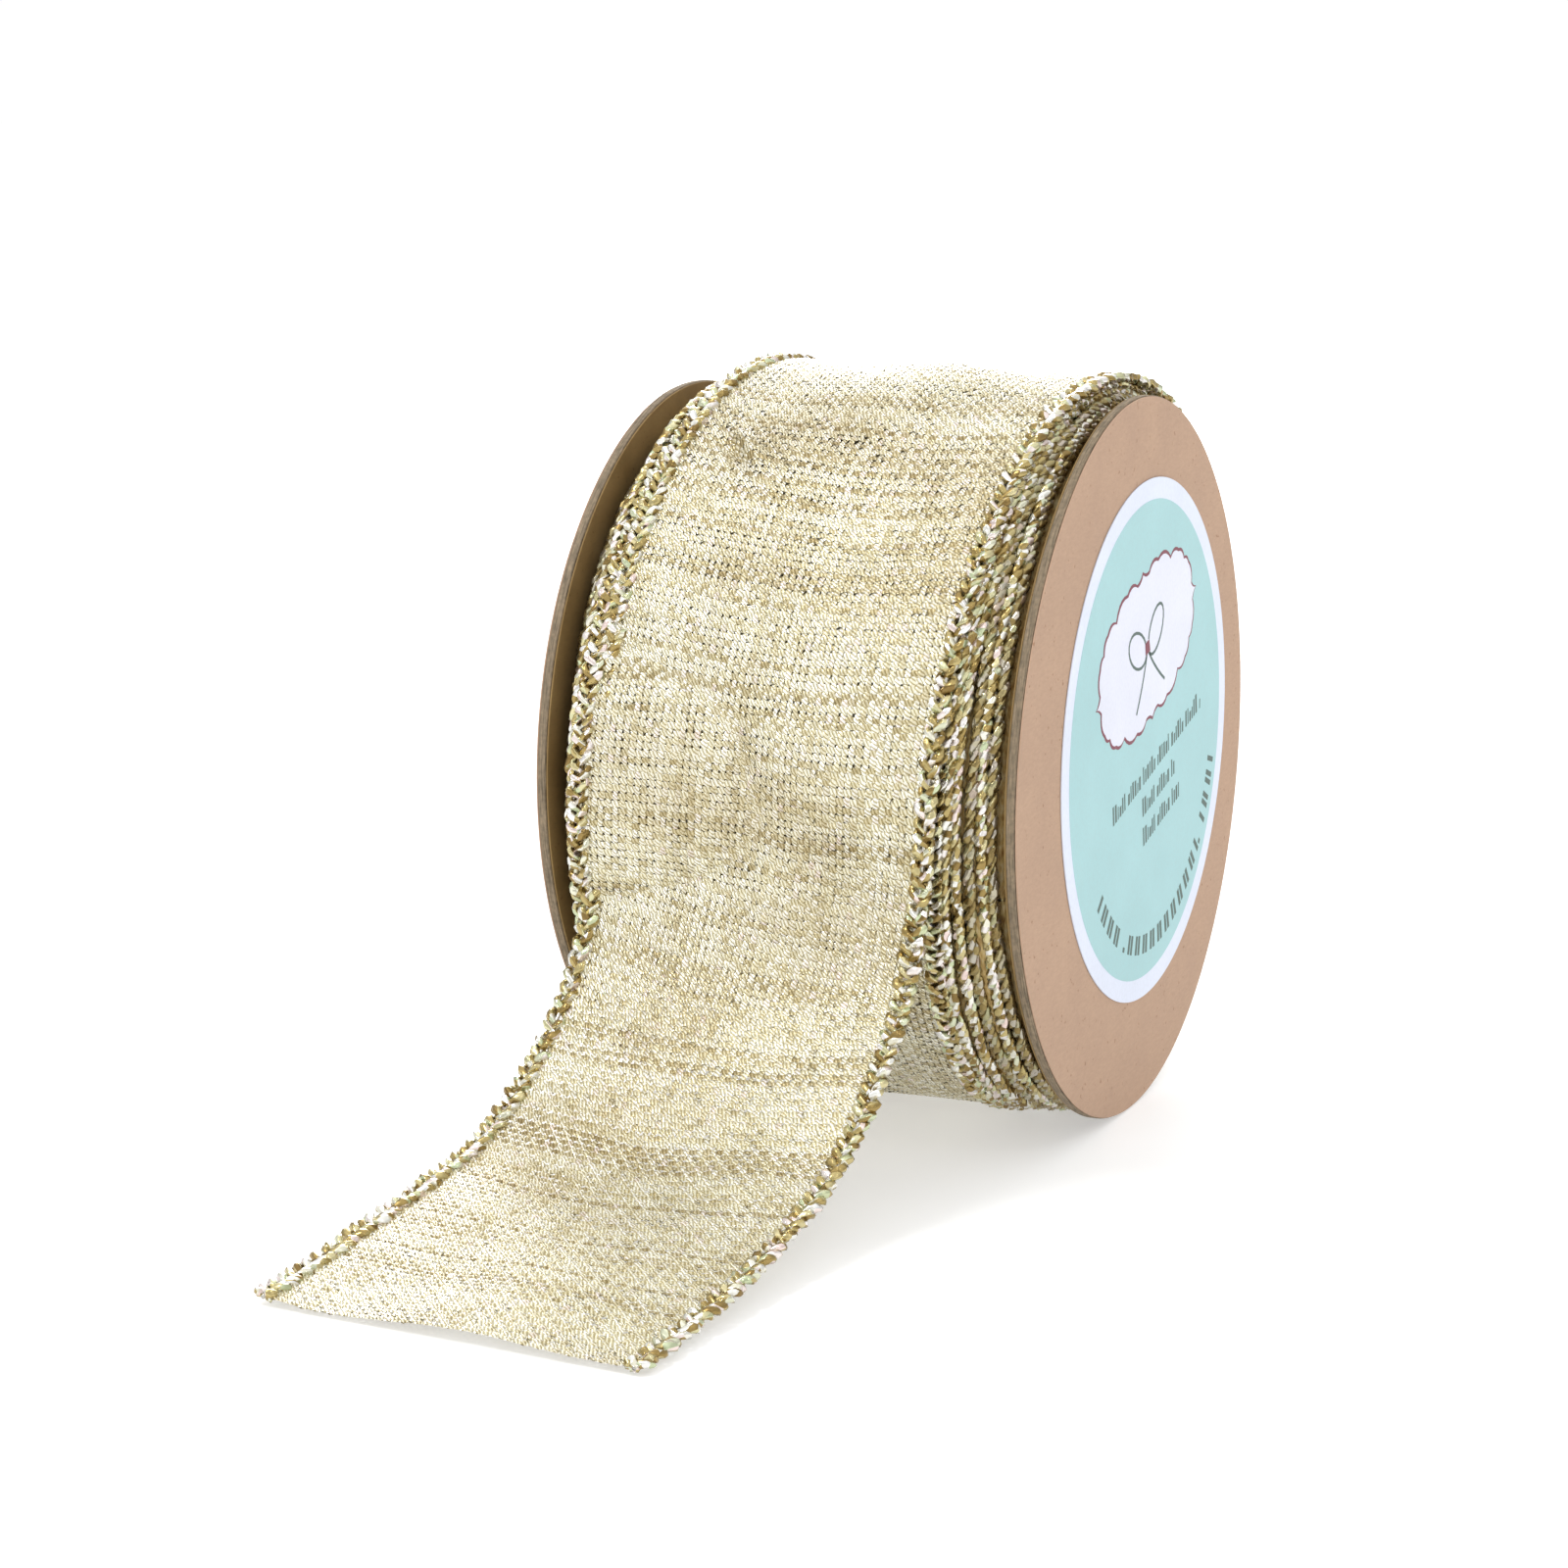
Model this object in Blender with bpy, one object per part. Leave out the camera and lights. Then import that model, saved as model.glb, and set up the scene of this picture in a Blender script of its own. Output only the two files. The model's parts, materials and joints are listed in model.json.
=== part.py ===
"""Ribbon spool: a kraft card spool holding wired metallic ribbon, with the ribbon's free end drawn off.

Frame: +X is the spool's axis towards the labelled flange, -Y is the way the ribbon is drawn off, +Z is up.
The origin is at the middle of the underside of the whole object's box. Metres.
"""
import math

import bmesh
import bpy
from mathutils import Matrix, Quaternion, Vector

MM = 0.001

# Driving dimensions
FLANGE_R = 35.0 * MM
SPOOL_LENGTH = 48.0 * MM  # over both flanges, without the label
BOARD_T = 0.80 * MM
LINER_T = 0.16 * MM
GLUE_FILM = 0.04 * MM  # gap left between two glued flat faces
LINER_INSET = 0.10 * MM  # liners end just inside the board's cut edge
BORE_R = 12.7 * MM  # a 1 inch rod hole
CORE_R = 15.0 * MM
LABEL_R = 25.4 * MM  # a 2 inch round label
LABEL_T = 0.10 * MM
LABEL_OFF = Vector((0.0, 2.6 * MM, 1.3 * MM))  # it is stuck on off centre
RIBBON_W = 38.1 * MM  # 1.5 inch ribbon
RIBBON_T = 0.36 * MM
EDGE_W = 2.6 * MM  # width of the overlocked edge
EDGE_T = 1.2 * MM
EDGE_GAP = 0.12 * MM
WIRE = 0.45 * MM
WIRE_CLEARANCE = 0.10 * MM
PACK_R = 33.0 * MM  # wound turns, just inside the flanges
PACK_LEFT = -21.0 * MM
PACK_RIGHT = 22.2 * MM
PACK_GAP = 0.20 * MM
TAPE_W = 20.0 * MM
TAPE_T = 0.12 * MM
TAPE_ARC = math.radians(70.0)
GLUE_R = 1.3 * MM  # leg of the glue fillet round each end of the core

# The outer turn: its radius grows from the floor side to the top, where it lies loose
TURN_BOTTOM_R = 34.35 * MM
TURN_TOP_R = 37.50 * MM
TURN_SWELL = 0.62
TURN_START = math.radians(4.0)  # where the tail leaves, measured from the front, upwards
TURN_END = math.radians(265.0)
TURN_STEP = math.radians(5.0)

# The tail's side view: distance in front of the axis and height of its middle layer
TAIL_ROUTE = [
    (36.0 * MM, 27.4 * MM),
    (39.2 * MM, 16.7 * MM),
    (49.8 * MM, 7.5 * MM),
    (61.4 * MM, 3.9 * MM),
    (75.7 * MM, 1.75 * MM),
    (86.9 * MM, 0.80 * MM),
]
TAIL_STEPS = 4  # stations between two points of the route

# The ribbon runs slightly askew: it lies against the labelled flange on top and drifts left towards its end
TURN_X = 2.95 * MM
DRIFT = 8.8 * MM
DRIFT_LENGTH = 143.0 * MM
DRIFT_POWER = 1.1
TWIST = math.radians(-8.0)  # its right edge stands further forward where it leaves the spool
TWIST_CENTRE = 59.0 * MM  # along the ribbon, from its cut end
TWIST_REACH = 45.0 * MM

SEGMENTS = 64
HALF = SPOOL_LENGTH / 2
STACK = BOARD_T + 2 * (LINER_T + GLUE_FILM)
INNER_FACE = HALF - STACK

KRAFT = (0.56, 0.38, 0.26, 1)
GREYBOARD = (0.29, 0.25, 0.19, 1)
CORE_PAPER = (0.40, 0.31, 0.22, 1)
LABEL_PAPER = (0.47, 0.74, 0.71, 1)
GOLD_WEB = (0.77, 0.66, 0.40, 1)
GOLD_EDGE = (0.62, 0.52, 0.28, 1)
WIRE_STEEL = (0.55, 0.50, 0.40, 1)
GLUE = (0.85, 0.80, 0.66, 1)
TAPE = (0.80, 0.80, 0.76, 1)


def clear_scene():
    for obj in list(bpy.data.objects):
        bpy.data.objects.remove(obj, do_unlink=True)


def material(name, colour, roughness, metallic=0.0):
    mat = bpy.data.materials.new(name)
    mat.use_nodes = True
    shader = mat.node_tree.nodes["Principled BSDF"]
    shader.inputs["Base Color"].default_value = colour
    shader.inputs["Roughness"].default_value = roughness
    shader.inputs["Metallic"].default_value = metallic
    return mat


def add_object(name, bm, parent, mat):
    bmesh.ops.recalc_face_normals(bm, faces=bm.faces)
    mesh = bpy.data.meshes.new(name)
    bm.to_mesh(mesh)
    bm.free()
    mesh.shade_smooth()
    mesh.set_sharp_from_angle(angle=math.radians(35))
    mesh.materials.append(mat)
    obj = bpy.data.objects.new(name, mesh)
    obj.parent = parent
    bpy.context.collection.objects.link(obj)
    return obj


def group(name):
    empty = bpy.data.objects.new(name, None)
    bpy.context.collection.objects.link(empty)
    return empty


def turned(name, profile, parent, mat, centre=Vector((0, 0, 0))):
    """A closed (x, radius) profile spun round the X axis; a radius of 0 closes it there."""
    bm = bmesh.new()
    verts = [bm.verts.new((x, r, 0)) for x, r in profile]
    closed = all(r > 0 for _, r in profile)
    edges = [bm.edges.new((a, b)) for a, b in zip(verts, verts[1:])]
    if closed:
        edges.append(bm.edges.new((verts[-1], verts[0])))
    bmesh.ops.spin(
        bm, geom=verts + edges, cent=(0, 0, 0), axis=(1, 0, 0), angle=2 * math.pi,
        steps=SEGMENTS, use_merge=True, use_normal_flip=False, use_duplicate=False,
    )
    bmesh.ops.remove_doubles(bm, verts=bm.verts, dist=1e-6)
    bmesh.ops.translate(bm, verts=bm.verts, vec=centre)
    return add_object(name, bm, parent, mat)


def ring(name, x0, x1, r0, r1, parent, mat):
    return turned(name, [(x0, r0), (x1, r0), (x1, r1), (x0, r1)], parent, mat)


def disc(name, x0, x1, radius, parent, mat, centre):
    return turned(name, [(x0, 0), (x0, radius), (x1, radius), (x1, 0)], parent, mat, centre)


def flange(side, sign, spool, board_mat, liner_mat):
    """One flange: grey board between two kraft liners, the inner liner first."""
    layers = [
        (f"{side}_flange_inner_liner", INNER_FACE, LINER_T, FLANGE_R - LINER_INSET, liner_mat),
        (f"{side}_flange_board", INNER_FACE + LINER_T + GLUE_FILM, BOARD_T, FLANGE_R, board_mat),
        (f"{side}_flange_outer_liner", HALF - LINER_T, LINER_T, FLANGE_R - LINER_INSET, liner_mat),
    ]
    for name, start, thick, radius, mat in layers:
        x0, x1 = sorted((sign * start, sign * (start + thick)))
        ring(name, x0, x1, BORE_R, radius, spool, mat)


def glue_fillet(side, sign, spool, mat):
    """A triangular bead of glue in the corner of the core and the inner liner."""
    x0 = sign * (INNER_FACE - GLUE_FILM)
    r0 = CORE_R + GLUE_FILM
    profile = [(x0, r0), (x0 - sign * GLUE_R, r0), (x0, r0 + GLUE_R)]
    turned(f"{side}_core_glue", profile, spool, mat)


def core(spool, mat):
    end = INNER_FACE - GLUE_FILM
    middle = (BORE_R + CORE_R) / 2
    ring("core_inner_ply", -end, end, BORE_R, middle - GLUE_FILM / 2, spool, mat)
    ring("core_outer_ply", -end, end, middle + GLUE_FILM / 2, CORE_R, spool, mat)


def start_tape(spool, mat):
    """A strip of tape round part of the core, over the ribbon's inner end."""
    bm = bmesh.new()
    r0 = CORE_R + 0.30 * MM
    r1 = r0 + TAPE_T
    corners = [(-TAPE_W / 2, r0), (TAPE_W / 2, r0), (TAPE_W / 2, r1), (-TAPE_W / 2, r1)]
    face = bm.faces.new([bm.verts.new((x, -r, 0)) for x, r in corners])
    bmesh.ops.spin(
        bm, geom=[face], cent=(0, 0, 0), axis=(1, 0, 0), angle=TAPE_ARC,
        steps=12, use_merge=False, use_normal_flip=False, use_duplicate=False,
    )
    add_object("start_tape", bm, spool, mat)


def wound_pack(spool, web_mat, edge_mat):
    """The wound turns, as one ring for the web and one for each stack of overlocked edges."""
    web_left = PACK_LEFT + EDGE_W
    web_right = PACK_RIGHT - EDGE_W
    web_bore = CORE_R + 0.9 * MM
    edge_bore = CORE_R + GLUE_R + 0.6 * MM
    ring("wound_ribbon", web_left, web_right, web_bore, PACK_R, spool, web_mat)
    ring("wound_edge_left", PACK_LEFT, web_left - PACK_GAP, edge_bore, PACK_R, spool, edge_mat)
    ring("wound_edge_right", web_right + PACK_GAP, PACK_RIGHT, edge_bore, PACK_R, spool, edge_mat)


def turn_radius(angle):
    lift = 0.5 + 0.5 * math.sin(angle)
    return TURN_BOTTOM_R + (TURN_TOP_R - TURN_BOTTOM_R) * lift ** TURN_SWELL


def on_turn(angle):
    radius = turn_radius(angle)
    return Vector((radius * math.cos(angle), FLANGE_R + radius * math.sin(angle)))


def smooth_route(points, steps):
    """Points along a Catmull-Rom curve from the second of the points to the last but one."""
    out = []
    for p0, p1, p2, p3 in zip(points, points[1:], points[2:], points[3:]):
        for step in range(steps):
            t = step / steps
            a = 2 * p1
            b = (p2 - p0) * t
            c = (2 * p0 - 5 * p1 + 4 * p2 - p3) * t * t
            d = (3 * p1 - p0 - 3 * p2 + p3) * t ** 3
            out.append((a + b + c + d) / 2)
    out.append(points[-2])
    return out


def ribbon_side_view():
    """Distance in front and height of the ribbon's middle layer, from its cut end round the turn."""
    angles = [TURN_START]
    while angles[-1] < TURN_END - TURN_STEP / 2:
        angles.append(angles[-1] + TURN_STEP)
    turn = [on_turn(a) for a in angles]
    route = [Vector(p) for p in TAIL_ROUTE]
    beyond = route[-1] + (route[-1] - route[-2])
    tail = smooth_route([turn[1], turn[0]] + route + [beyond], TAIL_STEPS)
    return tail[::-1] + turn[1:]


def ribbon_stations():
    """Middle, across and normal of the ribbon at each station, from the cut end to the turn's end."""
    points = []
    lengths = [0.0]
    for front, height in ribbon_side_view():
        if points:
            lengths.append(lengths[-1] + math.hypot(front + points[-1].y, height - points[-1].z))
        drift = max(0.0, 1 - lengths[-1] / DRIFT_LENGTH) ** DRIFT_POWER
        points.append(Vector((TURN_X - DRIFT * drift, -front, height)))
    stations = []
    for i, (point, length) in enumerate(zip(points, lengths)):
        along = (points[min(i + 1, len(points) - 1)] - points[max(i - 1, 0)]).normalized()
        across = Vector((1, 0, 0))
        across = (across - along * across.dot(along)).normalized()
        bump = math.cos(math.pi / 2 * min(1.0, abs(length - TWIST_CENTRE) / TWIST_REACH)) ** 2
        across.rotate(Quaternion(along, TWIST * bump))
        stations.append((point, across, along.cross(across)))
    return stations


def swept_ring(bm, station, section):
    middle, across, normal = station
    return [bm.verts.new(middle + across * u + normal * v) for u, v in section]


def swept(name, section, stations, parent, mat, bore=None):
    """A closed section carried along the stations; a bore has as many corners as the section."""
    bm = bmesh.new()
    walls = [section] + ([bore] if bore else [])
    rows = [[swept_ring(bm, s, wall) for s in stations] for wall in walls]
    for rings in rows:
        for a, b in zip(rings, rings[1:]):
            for k in range(len(a)):
                m = (k + 1) % len(a)
                bm.faces.new((a[k], a[m], b[m], b[k]))
    for end in (0, -1):
        if not bore:
            bm.faces.new(rows[0][end])
            continue
        outer, inner = rows[0][end], rows[1][end]
        for k in range(len(outer)):
            m = (k + 1) % len(outer)
            bm.faces.new((outer[k], outer[m], inner[m], inner[k]))
    return add_object(name, bm, parent, mat)


def box_section(centre, width, height):
    u, v = width / 2, height / 2
    return [(centre - u, -v), (centre + u, -v), (centre + u, v), (centre - u, v)]


def oval_section(centre, width, height):
    """A flattened round with six sides, for the overlocked edge and the space its wire lies in."""
    u, v = width / 2, height / 2
    flat = 0.55 * u
    return [
        (centre - flat, -v), (centre + flat, -v), (centre + u, 0),
        (centre + flat, v), (centre - flat, v), (centre - u, 0),
    ]


def free_ribbon(parent, web_mat, edge_mat, wire_mat):
    stations = ribbon_stations()
    web_width = RIBBON_W - 2 * (EDGE_W + EDGE_GAP)
    swept("ribbon_tail", box_section(0, web_width, RIBBON_T), stations, parent, web_mat)
    bore_height = WIRE + 2 * WIRE_CLEARANCE
    for side, sign in (("left", -1), ("right", 1)):
        centre = sign * (RIBBON_W - EDGE_W) / 2
        swept(f"tail_edge_{side}", oval_section(centre, EDGE_W, EDGE_T), stations, parent, edge_mat,
              bore=oval_section(centre, 2 * bore_height, bore_height))
        swept(f"tail_wire_{side}", box_section(centre, WIRE, WIRE), stations, parent, wire_mat)


def stand_on_origin(groups):
    """Moves the groups together so that the object's box has its underside's middle at the origin."""
    bpy.context.view_layer.update()
    points = [
        obj.matrix_world @ vert.co
        for obj in bpy.data.objects if obj.type == "MESH" for vert in obj.data.vertices
    ]
    low = Vector([min(p[i] for p in points) for i in range(3)])
    high = Vector([max(p[i] for p in points) for i in range(3)])
    shift = Vector(((low.x + high.x) / 2, (low.y + high.y) / 2, low.z))
    for empty in groups:
        empty.matrix_world = Matrix.Translation(-shift) @ empty.matrix_world


def build():
    clear_scene()
    kraft = material("kraft_liner", KRAFT, 0.85)
    board = material("grey_board", GREYBOARD, 0.9)
    paper = material("core_paper", CORE_PAPER, 0.85)
    label = material("label_paper", LABEL_PAPER, 0.45)
    web = material("metallic_web", GOLD_WEB, 0.35, 0.6)
    edge = material("metallic_edge", GOLD_EDGE, 0.3, 0.8)
    wire = material("edge_wire", WIRE_STEEL, 0.35, 1.0)
    glue = material("core_glue", GLUE, 0.4)
    tape = material("start_tape", TAPE, 0.3)

    spool = group("spool_axis")
    spool.location.z = FLANGE_R
    drawn = group("drawn_ribbon")
    bpy.context.view_layer.update()

    for side, sign in (("left", -1), ("right", 1)):
        flange(side, sign, spool, board, kraft)
        glue_fillet(side, sign, spool, glue)
    core(spool, paper)
    start_tape(spool, tape)
    wound_pack(spool, web, edge)
    label_x = HALF + GLUE_FILM
    disc("label_sheet", label_x, label_x + LABEL_T, LABEL_R, spool, label, LABEL_OFF)
    free_ribbon(drawn, web, edge, wire)
    stand_on_origin([spool, drawn])


build()
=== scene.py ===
import json
import math

import bmesh
import bpy
import numpy as np
from mathutils import Matrix, Quaternion, Vector


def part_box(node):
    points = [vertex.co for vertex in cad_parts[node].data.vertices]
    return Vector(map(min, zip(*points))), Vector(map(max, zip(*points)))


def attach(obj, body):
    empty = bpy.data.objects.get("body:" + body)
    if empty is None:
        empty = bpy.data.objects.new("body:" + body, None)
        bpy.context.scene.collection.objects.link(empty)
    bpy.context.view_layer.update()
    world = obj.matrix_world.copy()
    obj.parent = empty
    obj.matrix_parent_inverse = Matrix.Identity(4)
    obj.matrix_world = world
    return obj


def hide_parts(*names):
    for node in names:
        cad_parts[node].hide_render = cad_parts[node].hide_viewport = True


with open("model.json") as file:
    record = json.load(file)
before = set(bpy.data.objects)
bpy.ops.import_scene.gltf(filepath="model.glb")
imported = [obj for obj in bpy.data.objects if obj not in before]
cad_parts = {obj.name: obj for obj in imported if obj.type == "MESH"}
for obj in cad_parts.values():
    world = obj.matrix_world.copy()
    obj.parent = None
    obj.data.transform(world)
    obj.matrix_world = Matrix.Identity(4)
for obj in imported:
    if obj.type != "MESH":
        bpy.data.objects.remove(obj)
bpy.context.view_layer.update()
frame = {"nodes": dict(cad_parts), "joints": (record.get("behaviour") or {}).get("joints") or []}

MM = 0.001
SPOOL_AXIS = Vector(frame["joints"][0]["pos_m"])

# The free ribbon. Seen from the side it runs as the frame's ribbon does; its route over the table is
# (distance in front of the axis, height) in mm.
FLANGE_R = 35.0 * MM
TURN_BOTTOM_R, TURN_TOP_R, TURN_SWELL = 34.35 * MM, 37.50 * MM, 0.62
TURN_START, TURN_END, TURN_STEP = math.radians(4.0), math.radians(265.0), math.radians(1.25)
TAIL_ROUTE = [(36.0, 27.4), (39.2, 16.7), (49.8, 7.5), (61.4, 3.9), (75.7, 1.75), (86.9, 0.80)]
TAIL_STEPS = 14
TURN_X, DRIFT, DRIFT_LENGTH, DRIFT_POWER = 2.95 * MM, 8.8 * MM, 143.0 * MM, 1.1

# Its turns about its own line, and where it is drawn in, by length from the cut end.
ROLL, ROLL_CENTRE, ROLL_REACH = math.radians(1.4), 129.0 * MM, 34.0 * MM
PINCH, PINCH_START, PINCH_END = 1.4 * MM, 46.0 * MM, 74.0 * MM
TWIST, TWIST_CENTRE, TWIST_REACH = math.radians(-8.0), 59.0 * MM, 45.0 * MM

# The ribbon's make.
RIBBON_W = 38.1 * MM
EDGE_W = 2.6 * MM
THREAD_PITCH = 0.70 * MM
WARP_W, WEFT_W = 0.58 * MM, 0.57 * MM
THREAD_RISE, CROWN = 0.070 * MM, 0.085 * MM
WEFT_BOW, WEFT_BOW_EASE = 1.3 * MM, 30 * MM
WEB_HALF = 17.15 * MM
EDGE_CENTRE = (RIBBON_W - EDGE_W) / 2
WIRE_R = 0.20 * MM

# The stitched edges: the thread's radius, the length of one round of its strands, and how far they swing.
PLAIT_THREAD, PLAIT_PERIOD, PLAIT_ASIDE, PLAIT_LIFT = 0.34 * MM, 3.7 * MM, 0.84 * MM, 0.24 * MM
PRESSED_THREAD, PRESSED_LIFT = 0.32 * MM, 0.18 * MM
ROPE_THREAD, ROPE_PERIOD, ROPE_REACH = 0.35 * MM, 3.6 * MM, 0.29 * MM

# The crease in the web: its place and direction, as length from the cut end and distance aside, in mm.
CREASE_AT, CREASE_LEAN = (106.3, -11.8), (0.757, 0.653)

# The loose turns under the outer one: each lies a little nearer the tight pack and drifts sideways. A row of
# edges is (its turn, counted inwards, and how far it stands out, as a share of the way to the stop).
LOOSE_INNER_R, LOOSE_TURNS = 33.75 * MM, 4.3
SECOND_TURN_SETTLES, SECOND_TURN_END = math.radians(350.0), math.radians(625.0)
DRIFT_BACK = math.radians(165.0)
SWAY_MIDDLE, SWAY_UP, SWAY_FRONT = -0.6 * MM, 2.5 * MM, -0.75 * MM
RIGHT_ROWS = [(1.6, 0.20), (2.1, 0.42), (2.8, 0.66), (3.4, 0.86), (4.0, 1.02)]
RIGHT_STOP = 3.45 * MM
# Rows in these places take the wound-edge thread, darkened as painted shade.
PAINTED_SHADE_ROWS = (2, 4)
LEFT_ROWS = [(1.9, 0.45)]
LEFT_STOP = -3.1 * MM
ROW_SWAY = 0.28 * MM
THIRD_TURN, THIRD_HALF, THIRD_ASIDE = 3.2, 19.05 * MM, 1.4 * MM

# The core, and the flanges: die-cut card, a little out of round near the top.
BORE_R, CORE_PLY_R = 12.7 * MM, 13.87 * MM
CARD_EASE = 0.08 * MM
FLANGE_OVAL, OVAL_AT, OVAL_REACH = 0.6 * MM, math.radians(88.0), math.radians(48.0)

# The label is a little larger and higher than its CAD sheet, and its print is turned on it.
LABEL_R, MINT_R, LABEL_LIFT = 25.85 * MM, 23.75 * MM, 0.35 * MM
PRINT_TILT = math.radians(14.7)
INK = 0.02 * MM

# The print's own measures, in mm from the label's middle before it is turned.
PLATE_AT, BOW_AT = (1.5, 9.4), (1.3, 9.3)
PLATE_HALF_LONG, PLATE_HALF_HIGH, PLATE_RIM = 16.0, 7.6, 0.34
PLATE_QUARTER = [(16.1, 0.0), (14.8, 0.9), (14.2, 3.5), (12.9, 4.4), (11.3, 5.9), (8.7, 6.1), (4.9, 7.4),
                 (1.9, 7.2), (0.0, 7.8)]
KNOT = [(-0.7, -0.5), (0.7, -0.5), (0.6, 0.7), (-0.6, 0.7)]
PEN_HALF = 0.15
TEXT_ROWS = [(-12.0, 16.4, -3.7), (-3.3, 7.2, -6.8), (-3.7, 8.3, -9.8)]
TEXT_SLANT, TEXT_GAP, WORD_GAP, WORD = 0.22, 0.34, 0.85, 6
ARC_AT, ARC_R, ARC_TALL, ARC_DOT, ARC_HALF = (1.2, -0.4), 20.4, 1.9, 0.5, 0.27
ARC_MARKS, ARC_START, ARC_STEP, ARC_PAIR = 38, 207, 3.32, 0.5
ARC_EMPTY, ARC_DOTS = (7, 31), (8, 30)

# The tight pack that turns with the spool.
PACK_R = 32.9 * MM
PACK_ROW_R = 32.45 * MM
PACK_ROW_DROP = 0.25 * MM
PACK_ROWS = [20.1 * MM, 21.45 * MM]

WELD = 0.002 * MM

# The camera looks at a point near the spool's middle; angles are from the front and from level.
CAMERA_AZIMUTH, CAMERA_ELEVATION = math.radians(23.62), math.radians(10.95)
CAMERA_DISTANCE = 361.3 * MM
CAMERA_AIM = Vector((-13.81, 0.0, -5.18)) * MM
LENS, SENSOR = 81.19, 36

# Each light: name, place in m, size in m, power in W.
LIGHTS_AIM = (0, 0, 0.03)
LIGHTS = [
    ("key", (-0.26, -0.34, 0.72), 0.20, 1.9),
    ("above", (-0.25, 0.40, 0.45), 0.30, 0.5),
    ("fill", (0.60, -0.50, 0.40), 0.50, 0.4),
    ("back", (-0.40, 0.92, 0.26), 0.60, 9.5),
    ("sparkle_0", (-0.15, -0.60, 0.35), 0.05, 0.16),
    ("sparkle_1", (0.35, -0.35, 0.60), 0.05, 0.16),
    ("sparkle_2", (-0.60, -0.10, 0.45), 0.05, 0.16),
]
SKY = [(0.05, 0.76), (0.22, 0.49), (0.55, 0.64), (0.90, 0.92)]
SKY_STRENGTH = 1.33

# Colours of the film threads; each stop is (its place in the random draw, its colour).
WARP_SHADES = [(0.00, (0.74, 0.68, 0.48)), (0.20, (0.89, 0.85, 0.66)), (0.55, (0.96, 0.95, 0.84)),
               (0.90, (1.00, 1.00, 0.94)), (1.00, (0.96, 0.88, 0.86))]
WEFT_SHADES = [(0.00, (0.64, 0.57, 0.37)), (0.30, (0.84, 0.80, 0.60)), (0.75, (0.94, 0.93, 0.79)),
               (1.00, (0.99, 0.98, 0.88))]
CHIP_SHADES = [(0.00, (0.19, 0.115, 0.032)), (0.18, (0.34, 0.24, 0.080)), (0.38, (0.50, 0.41, 0.18)),
               (0.52, (0.70, 0.64, 0.38)), (0.62, (0.54, 0.64, 0.42)), (0.70, (0.80, 0.79, 0.66)),
               (0.86, (0.94, 0.96, 0.97)), (1.00, (0.86, 0.70, 0.68))]
GOLD = (0.47, 0.36, 0.155)


# ---------------------------------------------------------------- materials

def new_material(name):
    made = bpy.data.materials.new(name)
    made.use_nodes = True
    return made, made.node_tree, made.node_tree.nodes["Principled BSDF"]


def add_node(tree, kind, **settings):
    made = tree.nodes.new(kind)
    for name, value in settings.items():
        if name in made.inputs:
            made.inputs[name].default_value = value
        else:
            setattr(made, name, value)
    return made


def shades(tree, factor, *stops):
    """A colour ramp read at factor; each stop is (place, colour)."""
    ramp = tree.nodes.new("ShaderNodeValToRGB")
    points = ramp.color_ramp.elements
    while len(points) < len(stops):
        points.new(0.5)
    for point, (place, colour) in zip(points, stops):
        point.position = place
        point.color = (*colour, 1)
    tree.links.new(factor, ramp.inputs["Fac"])
    return ramp.outputs["Color"]


def levels(tree, value, low, high, new_low, new_high):
    """A value carried from one range to another and held inside it."""
    made = tree.nodes.new("ShaderNodeMapRange")
    for name, number in (("From Min", low), ("From Max", high), ("To Min", new_low), ("To Max", new_high)):
        made.inputs[name].default_value = number
    tree.links.new(value, made.inputs["Value"])
    return made.outputs["Result"]


def grain(tree, where, scale, detail=3.0, rough=0.55):
    made = add_node(tree, "ShaderNodeTexNoise", Scale=scale, Detail=detail, Roughness=rough)
    tree.links.new(where, made.inputs["Vector"])
    return made.outputs["Fac"]


def stretched(tree, where, turn, stretch):
    made = tree.nodes.new("ShaderNodeMapping")
    made.inputs["Rotation"].default_value = turn
    made.inputs["Scale"].default_value = stretch
    tree.links.new(where, made.inputs["Vector"])
    return made.outputs["Vector"]


def mixed(tree, how, first, second, share):
    made = tree.nodes.new("ShaderNodeMix")
    made.data_type = "RGBA"
    made.blend_type = how
    factor, colour_a, colour_b = made.inputs[0], made.inputs[6], made.inputs[7]
    for socket, value in ((factor, share), (colour_a, first), (colour_b, second)):
        if isinstance(value, bpy.types.NodeSocket):
            tree.links.new(value, socket)
        else:
            socket.default_value = value if isinstance(value, float) else (*value, 1)
    return made.outputs[2]


def raised(tree, shader, height, distance, strength=1.0):
    bump = add_node(tree, "ShaderNodeBump", Strength=strength, Distance=distance)
    tree.links.new(height, bump.inputs["Height"])
    tree.links.new(bump.outputs["Normal"], shader.inputs["Normal"])


def object_place(tree):
    return tree.nodes.new("ShaderNodeTexCoord").outputs["Object"]


def cell_place(tree):
    place = tree.nodes.new("ShaderNodeUVMap")
    place.uv_map = "cells"
    return place.outputs["UV"]


def cell_draw(tree, seed=0.0, steps=(1, 1, 1)):
    """A random value for each cell of the piece's own UV map, or for each thread with steps (1, 0, 0)."""
    scaled = add_node(tree, "ShaderNodeVectorMath", operation="MULTIPLY")
    tree.links.new(cell_place(tree), scaled.inputs[0])
    scaled.inputs[1].default_value = steps
    cell = add_node(tree, "ShaderNodeVectorMath", operation="FLOOR")
    tree.links.new(scaled.outputs["Vector"], cell.inputs[0])
    draw = add_node(tree, "ShaderNodeTexWhiteNoise", noise_dimensions="4D")
    draw.inputs["W"].default_value = seed
    tree.links.new(cell.outputs["Vector"], draw.inputs["Vector"])
    return draw.outputs["Value"]


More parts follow.
